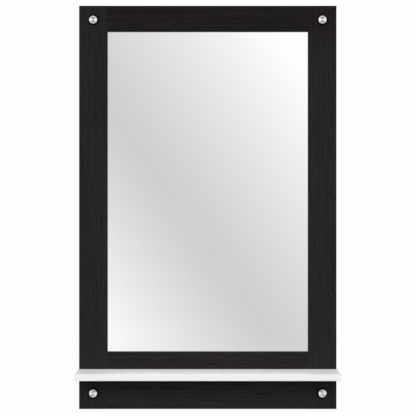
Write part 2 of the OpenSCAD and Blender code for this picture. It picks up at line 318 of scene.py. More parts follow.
# ---- Frame boards --------------------------------------------------------------
# Two stiles and two rails of 18 mm board under a near-black wood-grain laminate. Their front edges
# are eased, and the back is rebated round the opening for the pane and the hardboard.
ARRIS_R = 0.0008
# points closer than SAME_PLACE are one point, edges over LONG_EDGE are long ones, and a face looks
# along an axis when its normal's part along it is over FACING
SAME_PLACE = 1e-6
LONG_EDGE = 0.01
FACING = 0.99


def box_block(name, low, high):
    """A block between two corners, with its place in its mesh."""
    low, high = Vector(low), Vector(high)
    bpy.ops.object.select_all(action="DESELECT")
    bpy.ops.mesh.primitive_cube_add(size=1, location=(low + high) / 2)
    block = bpy.context.object
    block.name = block.data.name = name
    block.scale = high - low
    bpy.ops.object.transform_apply(location=True, rotation=True, scale=True)
    return block


def bevel_edges(piece, wanted, radius, steps):
    """Rounds the edges that wanted(one end, other end) picks."""
    bpy.ops.object.select_all(action="DESELECT")
    bpy.context.view_layer.objects.active = piece
    piece.select_set(True)
    bpy.ops.object.mode_set(mode="EDIT")
    bpy.ops.mesh.select_mode(type="EDGE")
    bpy.ops.mesh.select_all(action="DESELECT")
    shape = bmesh.from_edit_mesh(piece.data)
    for edge in shape.edges:
        edge.select_set(wanted(*(vert.co for vert in edge.verts)))
    bmesh.update_edit_mesh(piece.data)
    bpy.ops.mesh.bevel(offset=radius, segments=steps, affect="EDGES", profile=0.5)
    bpy.ops.object.mode_set(mode="OBJECT")


def turned(name, axis_at, rings, sides=64):
    """A turned piece about an axis along Y: a circle drawn out ring by ring and closed at both ends.

    Each ring is (radius, distance in front of axis_at). A last ring like the first makes it hollow.
    """
    axis_at = Vector(axis_at)
    bpy.ops.object.select_all(action="DESELECT")
    radius, height = rings[0]
    start = axis_at - Vector((0, height, 0))
    hollow = rings[0] == rings[-1]
    bpy.ops.mesh.primitive_circle_add(
        vertices=sides, radius=radius, fill_type="NOTHING" if hollow else "NGON",
        location=start, rotation=(math.radians(90), 0, 0))
    piece = bpy.context.object
    piece.name = piece.data.name = name
    bpy.ops.object.transform_apply(location=True, rotation=True, scale=True)
    bpy.ops.object.mode_set(mode="EDIT")
    bpy.ops.mesh.select_all(action="SELECT")
    for next_radius, next_height in rings[1:]:
        move = {"value": (0, height - next_height, 0)}
        bpy.ops.mesh.extrude_region_move(TRANSFORM_OT_translate=move)
        grow = next_radius / radius
        centre = axis_at - Vector((0, next_height, 0))
        bpy.ops.transform.resize(value=(grow, 1, grow), center_override=centre)
        radius, height = next_radius, next_height
    bpy.ops.mesh.select_all(action="SELECT")
    bpy.ops.mesh.remove_doubles(threshold=SAME_PLACE)
    bpy.ops.mesh.normals_make_consistent(inside=False)
    bpy.ops.object.mode_set(mode="OBJECT")
    return piece


def cut(piece, *cutters):
    """Takes each cutter's shape out of a piece, leaves its material on the cut, and removes it."""
    for cutter in cutters:
        bpy.context.view_layer.objects.active = piece
        knife = piece.modifiers.new("cut", "BOOLEAN")
        knife.operation = "DIFFERENCE"
        knife.solver = "EXACT"
        knife.material_mode = "TRANSFER"
        knife.object = cutter
        bpy.ops.object.modifier_apply(modifier=knife.name)
        bpy.data.objects.remove(cutter)
    bpy.ops.object.select_all(action="DESELECT")
    piece.select_set(True)
    bpy.ops.object.mode_set(mode="EDIT")
    bpy.ops.mesh.select_all(action="SELECT")
    bpy.ops.mesh.remove_doubles(threshold=2 * SAME_PLACE)
    bpy.ops.object.mode_set(mode="OBJECT")


def smooth(piece, angle=30):
    """Smooth shading that keeps sharp edges sharp and lets the flats stay flat beside rounded edges."""
    bpy.ops.object.select_all(action="DESELECT")
    bpy.context.view_layer.objects.active = piece
    piece.select_set(True)
    bpy.ops.object.shade_smooth_by_angle(angle=math.radians(angle))
    flats = piece.modifiers.new("flats", "WEIGHTED_NORMAL")
    flats.mode = "FACE_AREA"
    flats.weight = 100
    flats.keep_sharp = True
    bpy.ops.object.modifier_apply(modifier=flats.name)


def node_group(name, inputs, outputs):
    """An empty node group with its named sockets: the group, its inputs and its outputs."""
    group = bpy.data.node_groups.new(name, "ShaderNodeTree")
    for in_out, sockets in (("INPUT", inputs), ("OUTPUT", outputs)):
        for socket, kind in sockets.items():
            group.interface.new_socket(socket, in_out=in_out, socket_type="NodeSocket" + kind)
    return group, add(group, "NodeGroupInput").outputs, add(group, "NodeGroupOutput").inputs


def stretched_noise(tree, vector, size, detail):
    """Noise whose patches are about size long each way, in metres."""
    scale = tuple(1 / length for length in size)
    scaled = add(tree, "Mapping", {"Vector": vector, "Scale": scale}).outputs[0]
    return add(tree, "TexNoise", {"Vector": scaled, "Scale": 1.0, "Detail": detail}).outputs["Fac"]


def vary(tree, noise, low, high):
    """A value that goes from low to high over the middle part of a noise, where most of it lies."""
    return remap(tree, noise, 0.3, 0.7, low, high)


def blend_colours(tree, factor, first, second, **settings):
    mixed = add(tree, "Mix", {0: factor, 6: first, 7: second}, data_type="RGBA", **settings)
    return mixed.outputs[2]


# printed grain that runs along Z: lines, streaks, small flecks and a broad figure, each with its own
# share of the print's tone, a slight change of tint, and short pores pressed into the film
LINE_SHARE = 1.35
STREAK_SHARE = 2.15
FLECK_SHARE = 1.8
FIGURE_SHARE = 0.5
TONE_START = -2.4
PORE_EDGE = (0.60, 0.72)
PORE_SHARE = 0.35
TINT_EDGE = (0.35, 0.65)
COOL_TINT = (0.92, 1.0, 1.08, 1)
WARM_TINT = (1.10, 1.0, 0.92, 1)
DARK_ROUGHNESS = 0.55
LIGHT_SMOOTHER = -0.10
wood_print, given, out = node_group(
    "wood_print", {"Vector": "Vector", "Dark": "Color", "Light": "Color"},
    {"Color": "Color", "Roughness": "Float", "Height": "Float"})
vector = given["Vector"]
lines = stretched_noise(wood_print, vector, (0.0022, 0.0022, 0.50), detail=1.0)
streaks = stretched_noise(wood_print, vector, (0.0018, 0.0018, 0.060), detail=4.0)
flecks = stretched_noise(wood_print, vector, (0.0018, 0.0018, 0.0045), detail=1.0)
figure = stretched_noise(wood_print, vector, (0.020, 0.020, 0.30), detail=2.0)
pore_noise = stretched_noise(wood_print, vector, (0.0008, 0.0008, 0.016), detail=1.0)
tint_noise = stretched_noise(wood_print, vector, (0.0018, 0.0018, 0.012), detail=2.0)
tone = math_node(wood_print, "MULTIPLY_ADD", lines, LINE_SHARE, TONE_START)
tone = math_node(wood_print, "MULTIPLY_ADD", streaks, STREAK_SHARE, tone)
tone = math_node(wood_print, "MULTIPLY_ADD", flecks, FLECK_SHARE, tone)
tone = math_node(wood_print, "MULTIPLY_ADD", figure, FIGURE_SHARE, tone, clamp=True)
print_colour = blend_colours(wood_print, tone, given["Dark"], given["Light"])
tint = blend_colours(wood_print, remap(wood_print, tint_noise, *TINT_EDGE), COOL_TINT, WARM_TINT)
print_colour = blend_colours(wood_print, 1.0, print_colour, tint, blend_type="MULTIPLY")
pores = remap(wood_print, pore_noise, *PORE_EDGE)
pore_colour = blend_colours(wood_print, PORE_SHARE, print_colour, grey(0.0))
print_colour = blend_colours(wood_print, pores, print_colour, pore_colour)
roughness = math_node(wood_print, "MULTIPLY_ADD", tone, LIGHT_SMOOTHER, DARK_ROUGHNESS)
wood_print.links.new(print_colour, out["Color"])
wood_print.links.new(roughness, out["Roughness"])
wood_print.links.new(math_node(wood_print, "MULTIPLY_ADD", pores, -1.0, tone), out["Height"])


def finish(material, colour, roughness, height=None, bump=0.0, normal=None, **constants):
    """Completes a material: one Principled shader, its changing inputs linked and the others set."""
    tree = material.node_tree
    constants = {key.replace("_", " "): value for key, value in constants.items()}
    shader = add(tree, "BsdfPrincipled", {"Base Color": colour, "Roughness": roughness, **constants})
    if height is not None:
        normal = add(tree, "Bump", {"Height": height, "Distance": bump}).outputs[0]
    if normal is not None:
        tree.links.new(normal, shader.inputs["Normal"])
    add(tree, "OutputMaterial", {"Surface": shader.outputs[0]})


def object_coordinates(tree, turn=(0, 0, 0), shift=(0, 0, 0)):
    coordinates = add(tree, "TexCoord").outputs["Object"]
    if any(turn) or any(shift):
        placing = {"Vector": coordinates, "Rotation": turn, "Location": shift}
        coordinates = add(tree, "Mapping", placing).outputs[0]
    return coordinates


# the colour that painted shade darkens the laminate's print towards
PAINTED_SHADE_COLOUR = (0.003, 0.0, 0.001, 1)
PRINT_BUMP = 0.00003


def laminate(name, turn, shift, tones, *painted_shades):
    """The wood-grain film, printed in a dark and a light tone.

    Each of the last arguments is (from, to, share): painted shade between two levels.
    """
    film, tree = plain_material(name)
    dark, light = tones
    printed = {"Vector": object_coordinates(tree, turn, shift), "Dark": (*dark, 1), "Light": (*light, 1)}
    grain = add(tree, "Group", printed, node_tree=wood_print).outputs
    level = add(tree, "SeparateXYZ", {"Vector": object_coordinates(tree)}).outputs["Z"]
    colour = grain["Color"]
    # painted shade, darkening the print between two heights
    for low, high, share in painted_shades:
        colour = blend_colours(tree, remap(tree, level, low, high, 0.0, share), colour, PAINTED_SHADE_COLOUR)
    finish(film, colour, grain["Roughness"], grain["Height"], PRINT_BUMP, Specular_IOR_Level=0.07)
    return film


ALONG_Z = (0, 0, 0)
ALONG_X = (0, math.radians(90), 0)
STILE_TONES = ((0.0105, 0.0094, 0.0104), (0.0203, 0.0185, 0.0203))
TOP_TONES = ((0.0046, 0.0037, 0.0041), (0.0141, 0.0116, 0.0124))
BOTTOM_TONES = ((0.0099, 0.0087, 0.0091), (0.0229, 0.0206, 0.0214))
# painted shade: each stile's print darkens towards its top, the right one most at its top end
LEFT_PAINTED_SHADE = ((-0.35, 0.45, 0.12), (0.40, 0.46, 0.10))
RIGHT_PAINTED_SHADE = ((-0.25, 0.45, 0.06), (0.32, 0.46, 0.40))
# painted shade: the bottom rail's print darkens above the shelf
ABOVE_SHELF_PAINTED_SHADE = (-0.40, -0.36, 0.18)
left_laminate = laminate("left_laminate", ALONG_Z, (0, 0, 0), STILE_TONES, *LEFT_PAINTED_SHADE)
right_laminate = laminate("right_laminate", ALONG_Z, (0, 0, 0.2), STILE_TONES, *RIGHT_PAINTED_SHADE)
top_laminate = laminate("top_laminate", ALONG_X, (0.3, 0, 0.1), TOP_TONES)
bottom_laminate = laminate("bottom_laminate", ALONG_X, (0.1, 0, 0.7), BOTTOM_TONES, ABOVE_SHELF_PAINTED_SHADE)

# the board's core, bare where it has been cut or drilled: pressed fibre with darker flecks
bare_core, tree = plain_material("bare_core")
vector = object_coordinates(tree)
fibre = stretched_noise(tree, vector, (0.0011, 0.0006, 0.0011), detail=6.0)
flecks = remap(tree, stretched_noise(tree, vector, (0.0026, 0.0010, 0.0026), detail=3.0), 0.56, 0.70)
fleck_share = math_node(tree, "MULTIPLY", flecks, 0.5)
core_colour = blend_colours(tree, fibre, (0.20, 0.125, 0.068, 1), (0.36, 0.25, 0.150, 1))
core_colour = blend_colours(tree, fleck_share, core_colour, (0.10, 0.058, 0.030, 1))
finish(bare_core, core_colour, vary(tree, fibre, 0.80, 0.95), fibre, bump=0.0002)

board_low, board_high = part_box("left_stile")
open_left, open_right = board_high.x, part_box("right_stile")[0].x
open_bottom, open_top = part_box("bottom_rail")[1].z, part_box("top_rail")[0].z
pane_low, pane_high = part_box("mirror_glass")
back_low, back_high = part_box("backing_board")
GLASS_REBATE_W = 0.008
BACK_PLAY = 0.001
OVERCUT = 0.001


def bare_block(low, high):
    """A cutter that leaves the bare core on its cut."""
    block = box_block("cutter", low, high)
    block.data.materials.append(bare_core)
    return block


def rebate_cutters():
    """The two steps behind the opening, the deeper for the pane and the wider for the hardboard."""
    wider = Vector((BACK_PLAY, 0, BACK_PLAY))
    yield bare_block((open_left - GLASS_REBATE_W, pane_low.y, open_bottom - GLASS_REBATE_W),
                     (open_right + GLASS_REBATE_W, OVERCUT, open_top + GLASS_REBATE_W))
    yield bare_block(back_low - wider, Vector((back_high.x, OVERCUT, back_high.z)) + wider)


def bare_peg(x, z, rings, sides):
    """A cutter for a round hole along Y, its rings given as (radius, distance in front of the wall)."""
    peg = turned("cutter", (x, 0, z), rings, sides)
    peg.data.materials.append(bare_core)
    return peg


DOWEL_HOLE_R = 0.004
DOWEL_HOLE_L = 0.040
HOLE_SIDES = 24
MIDDLE_DOWEL_DROP = 0.018
top_dowels_low, top_dowels_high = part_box("top_rail_dowels")
bottom_dowels_low, bottom_dowels_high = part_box("bottom_rail_dowels")
shelf_low, shelf_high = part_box("shelf")
shelf_z = (shelf_low.z + shelf_high.z) / 2
dowel_r = (top_dowels_high.y - top_dowels_low.y) / 2
TOP_DOWELS = (top_dowels_low.z + dowel_r, top_dowels_high.z - dowel_r)
BOTTOM_DOWELS = (bottom_dowels_low.z + dowel_r, shelf_z - MIDDLE_DOWEL_DROP,
                 bottom_dowels_high.z - dowel_r)


def dowel_cutter(x, z):
    """A cutter for a round hole along X, across the joint of a rail and a stile."""
    bpy.ops.object.select_all(action="DESELECT")
    bpy.ops.mesh.primitive_cylinder_add(
        vertices=HOLE_SIDES, radius=DOWEL_HOLE_R, depth=DOWEL_HOLE_L,
        location=(x, board_low.y / 2, z), rotation=(0, math.radians(90), 0))
    peg = bpy.context.object
    bpy.ops.object.transform_apply(location=True, rotation=True, scale=True)
    peg.data.materials.append(bare_core)
    return peg


# places of the screws, as (x, z): along the hardboard's edge, and through the frame into the shelf
SIDE_MARGIN = 0.068
SIDE_COUNT = 4
END_SHARE = 0.6
SHELF_SCREW_SHARES = (0.235, 0.685)
SHELF_DOWEL_SHARE = 0.46
line_x = (back_high.x + BACK_PLAY + open_right + GLASS_REBATE_W) / 2
line_top = (back_high.z + BACK_PLAY + open_top + GLASS_REBATE_W) / 2
line_bottom = (back_low.z - BACK_PLAY + open_bottom - GLASS_REBATE_W) / 2
side_step = (back_high.z - back_low.z - 2 * SIDE_MARGIN) / (SIDE_COUNT - 1)
SIDE_LEVELS = [back_low.z + SIDE_MARGIN + k * side_step for k in range(SIDE_COUNT)]
END_PLACES = [k * END_SHARE * open_right for k in (-1, 0, 1)]
SIDE_SCREWS = {side: [(side * line_x, z) for z in SIDE_LEVELS] for side in (-1, 1)}
TOP_SCREWS = [(x, line_top) for x in END_PLACES]
BOTTOM_SCREWS = [(x, line_bottom) for x in END_PLACES]
RAIL_SHELF_SCREWS = [side * share * open_right for side in (-1, 1) for share in SHELF_SCREW_SHARES]
SHELF_DOWELS = [side * SHELF_DOWEL_SHARE * open_right for side in (-1, 1)]
wall_x = (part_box("cap_top_right")[0].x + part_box("cap_top_right")[1].x) / 2
wall_z = (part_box("cap_top_right")[0].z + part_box("cap_top_right")[1].z) / 2

# the holes' outlines, from the wall to the frame's face: pilot holes, stepped and countersunk holes
# for the shelf's screws, stepped holes for the wall screws and cap seats, and the shelf's dowel holes
FACE = -board_low.y
PILOT_R = 0.0016
PILOT_L = 0.014
HEAD_R = 0.0051
HEAD_SINK = 0.0010
SHANK_R = 0.0036
SHANK_FROM = 0.0025
WALL_SCREW_R = 0.00275
SEAT_R = 0.0050
SEAT_FROM = 0.0040
SHELF_DOWEL_DEPTH = 0.011
PILOT_HOLE = [(PILOT_R, 0), (PILOT_R, PILOT_L)]
SHELF_SCREW_HOLE = [(HEAD_R, -OVERCUT), (HEAD_R, HEAD_SINK), (SHANK_R, SHANK_FROM),
                    (SHANK_R, FACE + OVERCUT)]
WALL_HOLE = [(WALL_SCREW_R, -OVERCUT), (WALL_SCREW_R, SEAT_FROM), (SEAT_R, SEAT_FROM),
             (SEAT_R, FACE + OVERCUT)]
SHELF_DOWEL_HOLE = [(DOWEL_HOLE_R, FACE - SHELF_DOWEL_DEPTH), (DOWEL_HOLE_R, FACE + OVERCUT)]


def pilot_holes(places):
    return [bare_peg(x, z, PILOT_HOLE, sides=16) for x, z in places]


def make_board(node, eased, film, holes):
    """One frame board in its CAD board's place: cut to size, eased, rebated and drilled."""
    low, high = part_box(node)
    board = box_block("board_" + node, low, high)
    board.data.materials.append(film)
    bevel_edges(board, eased, ARRIS_R, steps=4)
    cut(board, *rebate_cutters(), *holes)
    smooth(board)
    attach(board, "frame")
    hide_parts(node)


def front_edge_along(axis):
    """Picks the front edges that run along X (0) or Z (2)."""
    def wanted(start, end):
        in_front = max(start.y, end.y) < board_low.y + SAME_PLACE
        return in_front and abs(start[axis] - end[axis]) > LONG_EDGE
    return wanted


for side, node, film in ((-1, "left_stile", left_laminate), (1, "right_stile", right_laminate)):
    joint_x = open_left if side < 0 else open_right
    holes = [dowel_cutter(joint_x, z) for z in (*TOP_DOWELS, *BOTTOM_DOWELS)]
    holes += pilot_holes(SIDE_SCREWS[side])
    holes += [bare_peg(side * wall_x, z, WALL_HOLE, sides=40) for z in (-wall_z, wall_z)]
    holes.append(bare_peg(side * wall_x, shelf_z, SHELF_SCREW_HOLE, sides=32))
    make_board(node, front_edge_along(2), film, holes)

holes = [dowel_cutter(x, z) for x in (open_left, open_right) for z in TOP_DOWELS]
holes += pilot_holes(TOP_SCREWS)
make_board("top_rail", front_edge_along(0), top_laminate, holes)

holes = [dowel_cutter(x, z) for x in (open_left, open_right) for z in BOTTOM_DOWELS]
holes += pilot_holes(BOTTOM_SCREWS)
holes += [bare_peg(x, shelf_z, SHELF_SCREW_HOLE, sides=32) for x in RAIL_SHELF_SCREWS]
holes += [bare_peg(x, shelf_z, SHELF_DOWEL_HOLE, HOLE_SIDES) for x in SHELF_DOWELS]
make_board("bottom_rail", front_edge_along(0), bottom_laminate, holes)

# ---- Rail dowels ---------------------------------------------------------------
# Fluted beech dowels, glued across the joints between the rails and the stiles. The CAD pegs stay,
# under end grain and straight pale grain.
beech, tree = plain_material("fluted_beech")
wood_rays = stretched_noise(tree, object_coordinates(tree), (0.0060, 0.0006, 0.0006), detail=3.0)
beech_colour = blend_colours(tree, wood_rays, (0.50, 0.33, 0.18, 1), (0.70, 0.52, 0.33, 1))
finish(beech, beech_colour, vary(tree, wood_rays, 0.5, 0.7), wood_rays, bump=0.0001)


def dress(node, material):
    """Gives a CAD node that stays in view its finish."""
    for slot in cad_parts[node].material_slots:
        slot.material = material


dress("top_rail_dowels", beech)
dress("bottom_rail_dowels", beech)

# ---- Mirror pane ---------------------------------------------------------------
# Four-millimetre glass, silvered behind, with ground and seamed edges. Its face lies against the
# lip of the rebate, and its back is painted grey to protect the silver.
SEAM = 0.0005
# the silver's roughness stays low enough for the light to count the pane as a sharp mirror
WIPE_MARKS = (0.0005, 0.0030)

silvered_glass, tree = plain_material("silvered_glass")
vector = object_coordinates(tree)
haze = stretched_noise(tree, vector, (0.30, 0.30, 0.30), detail=2.0)
silver_colour = blend_colours(tree, haze, (0.899, 0.895, 0.896, 1), (0.909, 0.905, 0.906, 1))
wiped = stretched_noise(tree, vector, (0.012, 0.012, 0.05), detail=3.0)
finish(silvered_glass, silver_colour, remap(tree, wiped, 0.3, 0.8, *WIPE_MARKS), Metallic=1.0)

back_paint, tree = plain_material("back_paint")
roller = stretched_noise(tree, object_coordinates(tree), (0.0022, 0.0022, 0.0022), detail=3.0)
paint_colour = blend_colours(tree, roller, (0.21, 0.23, 0.22, 1), (0.27, 0.29, 0.28, 1))
finish(back_paint, paint_colour, vary(tree, roller, 0.45, 0.6), roller, bump=0.00004)

ground_edge, tree = plain_material("ground_edge")
grinding = stretched_noise(tree, object_coordinates(tree), (0.0008, 0.0003, 0.0008), detail=2.0)
edge_colour = blend_colours(tree, grinding, (0.16, 0.24, 0.20, 1), (0.30, 0.40, 0.35, 1))
finish(ground_edge, edge_colour, vary(tree, grinding, 0.3, 0.5), grinding, bump=0.00003)


def paint_faces(piece, material, wanted):
    """Gives a finish to the faces whose normal wanted(normal) picks."""
    piece.data.materials.append(material)
    index = len(piece.data.materials) - 1
    for face in piece.data.polygons:
        if wanted(face.normal):
            face.material_index = index


pane = box_block("pane", pane_low, pane_high)
pane.data.materials.append(ground_edge)
bevel_edges(pane, lambda start, end: abs(start.y - end.y) < SAME_PLACE, SEAM, steps=1)
paint_faces(pane, silvered_glass, lambda normal: normal.y < -FACING)
paint_faces(pane, back_paint, lambda normal: normal.y > FACING)
smooth(pane, angle=20)
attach(pane, "frame")
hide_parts("mirror_glass")

# ---- Setting pads and foam tape --------------------------------------------------
# The pane stands on two rubber pads, and strips of black foam tape behind its edges press it
# forward when the hardboard is screwed down.
pad_rubber, tree = plain_material("pad_rubber")
bloom = stretched_noise(tree, object_coordinates(tree), (0.004, 0.004, 0.004), detail=4.0)
rubber_colour = blend_colours(tree, bloom, (0.012, 0.012, 0.012, 1), (0.030, 0.030, 0.031, 1))
finish(pad_rubber, rubber_colour, vary(tree, bloom, 0.6, 0.8), bloom, bump=0.0001)
dress("glass_pads", pad_rubber)

CELLS_PER_METRE = 2200.0
tape_foam, tree = plain_material("tape_foam")
cell_inputs = {"Vector": object_coordinates(tree), "Scale": CELLS_PER_METRE}
cells = add(tree, "TexVoronoi", cell_inputs).outputs["Distance"]
foam_colour = blend_colours(tree, cells, (0.030, 0.030, 0.030, 1), (0.010, 0.010, 0.010, 1))
finish(tape_foam, foam_colour, remap(tree, cells, 0.0, 1.0, 0.8, 0.95), cells, bump=0.0002)
dress("foam_tape", tape_foam)

# ---- Hardboard back --------------------------------------------------------------
# A 3 mm hardboard panel in the outer rebate, smooth inside and with the press's wire mesh printed
# into its back. It is drilled and countersunk for fourteen screws.
MESH_PITCH = 0.0016
MESH_DEPTH = 0.00025
MESH_SHARE = 0.5
CLOUD_SHARE = 0.4
PANEL_ARRIS_R = 0.0003
PANEL_T = 0.0030
SCREW_R = 0.0016
SINK_R = 0.0031
SINK_DEPTH = 0.0015
SCREW_HOLE = [(SINK_R + OVERCUT, -OVERCUT), (SCREW_R, SINK_DEPTH), (SCREW_R, PANEL_T + OVERCUT)]

hardboard_mesh_side, tree = plain_material("hardboard_mesh_side")
vector = object_coordinates(tree)
place = add(tree, "SeparateXYZ", {"Vector": vector}).outputs
wires = [math_node(tree, "MULTIPLY", place[axis], 2 * math.pi / MESH_PITCH) for axis in "XZ"]
mesh_print = math_node(tree, "MULTIPLY", *(math_node(tree, "SINE", wire) for wire in wires))
fibres = stretched_noise(tree, vector, (0.003, 0.001, 0.003), detail=6.0)
cloud = stretched_noise(tree, vector, (0.09, 0.09, 0.09), detail=3.0)
cloud = math_node(tree, "MULTIPLY", cloud, CLOUD_SHARE)
board_colour = blend_colours(tree, fibres, (0.17, 0.098, 0.050, 1), (0.29, 0.185, 0.102, 1))
board_colour = blend_colours(tree, cloud, board_colour, (0.14, 0.080, 0.042, 1))
pressed = math_node(tree, "MULTIPLY_ADD", mesh_print, MESH_SHARE, fibres)
finish(hardboard_mesh_side, board_colour, vary(tree, fibres, 0.75, 0.9), pressed, bump=MESH_DEPTH)

hardboard_face, tree = plain_material("hardboard_face")
fibres = stretched_noise(tree, object_coordinates(tree), (0.002, 0.001, 0.002), detail=6.0)
face_colour = blend_colours(tree, fibres, (0.20, 0.115, 0.058, 1), (0.27, 0.165, 0.088, 1))
finish(hardboard_face, face_colour, vary(tree, fibres, 0.45, 0.6), fibres, bump=0.00005)

panel = box_block("hardboard_panel", back_low, back_high)
panel.data.materials.append(hardboard_face)
bevel_edges(panel, lambda start, end: min(start.y, end.y) > -SAME_PLACE, PANEL_ARRIS_R, steps=2)
panel_screws = (*SIDE_SCREWS[-1], *SIDE_SCREWS[1], *TOP_SCREWS, *BOTTOM_SCREWS)
cut(panel, *(bare_peg(x, z, SCREW_HOLE, HOLE_SIDES) for x, z in panel_screws))
paint_faces(panel, hardboard_mesh_side, lambda normal: normal.y > FACING)
smooth(panel)
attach(panel, "frame")
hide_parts("backing_board")

# ---- Backing screws ----------------------------------------------------------------
# Fourteen yellow-zinc screws with flat cross-slotted heads, turned in flush with the hardboard.
# The thread is rolled, and the slots are tapered as a driver's tip is.
yellow_zinc, tree = plain_material("yellow_zinc")
passivation = stretched_noise(tree, object_coordinates(tree), (0.004, 0.004, 0.004), detail=3.0)
zinc_colour = blend_colours(tree, passivation, (0.62, 0.52, 0.30, 1), (0.72, 0.66, 0.52, 1))
zinc_roughness = vary(tree, passivation, 0.25, 0.45)
finish(yellow_zinc, zinc_colour, zinc_roughness, passivation, bump=0.00002, Metallic=1.0)
dress("backing_screws", yellow_zinc)

# ---- Shelf -------------------------------------------------------------------------
# A white lacquered board, its edges lipped and sanded round. Its back edge butts against the
# frame's face, held by six screws from behind and two dowels.
SHELF_ARRIS_R = 0.001
SHELF_PILOT_R = 0.0025
SHELF_PILOT_L = 0.035
SHELF_PEG_L = 0.021
SHELF_PILOT = [(SHELF_PILOT_R, FACE - OVERCUT), (SHELF_PILOT_R, FACE + SHELF_PILOT_L)]
SHELF_PEG = [(DOWEL_HOLE_R, FACE - OVERCUT), (DOWEL_HOLE_R, FACE + SHELF_PEG_L)]

satin_lacquer, tree = plain_material("satin_lacquer")
vector = object_coordinates(tree)
orange_peel = stretched_noise(tree, vector, (0.0025, 0.0025, 0.0025), detail=2.0)
cloud = stretched_noise(tree, vector, (0.06, 0.06, 0.06), detail=2.0)
lacquer_colour = blend_colours(tree, cloud, (0.810, 0.810, 0.809, 1), (0.830, 0.830, 0.829, 1))
finish(satin_lacquer, lacquer_colour, vary(tree, orange_peel, 0.32, 0.40), orange_peel, bump=0.00002)


def shelf_edge(start, end):
    """Picks every edge of the shelf but those round its back, which butts against the frame."""
    off_back = max(start.y, end.y) < shelf_high.y - SAME_PLACE
    return off_back or abs(start.y - end.y) > LONG_EDGE


shelf_board = box_block("shelf_board", shelf_low, shelf_high)
shelf_board.data.materials.append(satin_lacquer)
bevel_edges(shelf_board, shelf_edge, SHELF_ARRIS_R, steps=4)
cutters = [bare_peg(x, shelf_z, SHELF_PILOT, HOLE_SIDES) for x in (-wall_x, *RAIL_SHELF_SCREWS, wall_x)]
cutters += [bare_peg(x, shelf_z, SHELF_PEG, HOLE_SIDES) for x in SHELF_DOWELS]
cut(shelf_board, *cutters)
smooth(shelf_board)
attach(shelf_board, "frame")
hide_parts("shelf")

# ---- Shelf screws and dowels ---------------------------------------------------------
# Bright zinc screws with a hexagon socket, sunk a millimetre into the frame's back, and beech
# dowels glued beside them.
bright_zinc, tree = plain_material("bright_zinc")
passivation = stretched_noise(tree, object_coordinates(tree), (0.003, 0.003, 0.003), detail=3.0)
zinc_colour = blend_colours(tree, passivation, (0.58, 0.60, 0.62, 1), (0.70, 0.71, 0.72, 1))
zinc_roughness = vary(tree, passivation, 0.25, 0.40)
finish(bright_zinc, zinc_colour, zinc_roughness, passivation, bump=0.00002, Metallic=1.0)
dress("shelf_screws", bright_zinc)
dress("shelf_dowels", beech)

# ---- Cap seats -----------------------------------------------------------------------
# Turned brass plugs pressed into the corners. Each has a ringed rim that the cap screws over and
# a countersink for the wall screw's head.
# each corner's side, -1 for left, and its level, -1 for the bottom; and where the top right one is
CORNERS = {"top_left": (-1, 1), "top_right": (1, 1), "bottom_left": (-1, -1), "bottom_right": (1, -1)}
CORNER_AT = (wall_x, 0.0, wall_z)


def vector_node(tree, operation, *values, **settings):
    """The result of a Vector Math node."""
    inputs = dict(enumerate(values))
    return add(tree, "VectorMath", inputs, operation=operation, **settings).outputs[0]


# about each corner's own axis, with its radial direction: coordinates that all four corners share
corner_axis, given, out = node_group(
    "corner_axis", {"Vector": "Vector"}, {"Radial": "Vector", "Radius": "Float"})
flat = vector_node(corner_axis, "MULTIPLY", given["Vector"], (1, 0, 1))
nearest = vector_node(corner_axis, "MULTIPLY", vector_node(corner_axis, "SIGN", flat), CORNER_AT)
from_axis = vector_node(corner_axis, "SUBTRACT", flat, nearest)
radius = add(corner_axis, "VectorMath", {0: from_axis}, operation="LENGTH").outputs["Value"]
corner_axis.links.new(vector_node(corner_axis, "NORMALIZE", from_axis), out["Radial"])
corner_axis.links.new(radius, out["Radius"])

# fine tool marks from turning: rings a pitch apart whose flanks tip the surface in and out, more so
# towards the rim, where the work runs faster past the tool
FLANK_TURN = (0.46, 0.54)
RIM_AT = 0.008
DEEPER_TO_RIM = (0.60, 1.60)
tool_marks, given, out = node_group(
    "tool_marks", {"Vector": "Vector", "Pitch": "Float", "Tip": "Float"},
    {"Normal": "Vector", "Mark": "Float"})
axis = add(tool_marks, "Group", {"Vector": given["Vector"]}, node_tree=corner_axis).outputs
rings = math_node(tool_marks, "DIVIDE", axis["Radius"], given["Pitch"])
ring = math_node(tool_marks, "FRACT", rings)
flank = math_node(tool_marks, "PINGPONG", math_node(tool_marks, "MULTIPLY", ring, 2.0), 1.0)
flank = remap(tool_marks, flank, *FLANK_TURN, -1.0, 1.0)
deeper = remap(tool_marks, axis["Radius"], 0.0, RIM_AT, *DEEPER_TO_RIM)
lean = math_node(tool_marks, "MULTIPLY", flank, given["Tip"])
lean = math_node(tool_marks, "MULTIPLY", lean, deeper)
leaning = add(tool_marks, "VectorMath", {0: axis["Radial"], "Scale": lean}, operation="SCALE").outputs[0]
outward = add(tool_marks, "VectorTransform", {"Vector": leaning}, vector_type="VECTOR",
              convert_from="OBJECT", convert_to="WORLD").outputs[0]
surface = add(tool_marks, "NewGeometry").outputs["Normal"]
tipped = vector_node(tool_marks, "NORMALIZE", vector_node(tool_marks, "ADD", surface, outward))
tool_marks.links.new(tipped, out["Normal"])
tool_marks.links.new(ring, out["Mark"])


def turned_metal(name, dull, bright, roughness, pitch, tip):
    """Metal with tool marks a pitch apart, their flanks tipped by about tip, in radians."""
    metal, tree = plain_material(name)
    vector = object_coordinates(tree)
    marked = {"Vector": vector, "Pitch": pitch, "Tip": tip}
    marks = add(tree, "Group", marked, node_tree=tool_marks).outputs
    cloud = stretched_noise(tree, vector, (0.005, 0.005, 0.005), detail=3.0)
    colour = blend_colours(tree, cloud, (*dull, 1), (*bright, 1))
    finish(metal, colour, vary(tree, cloud, *roughness), normal=marks["Normal"], Metallic=1.0)
    return metal


seat_brass = turned_metal("seat_brass", dull=(0.62, 0.45, 0.20), bright=(0.78, 0.60, 0.30),
                          roughness=(0.22, 0.34), pitch=0.0003, tip=0.15)
for corner in CORNERS:
    dress("cap_seat_" + corner, seat_brass)
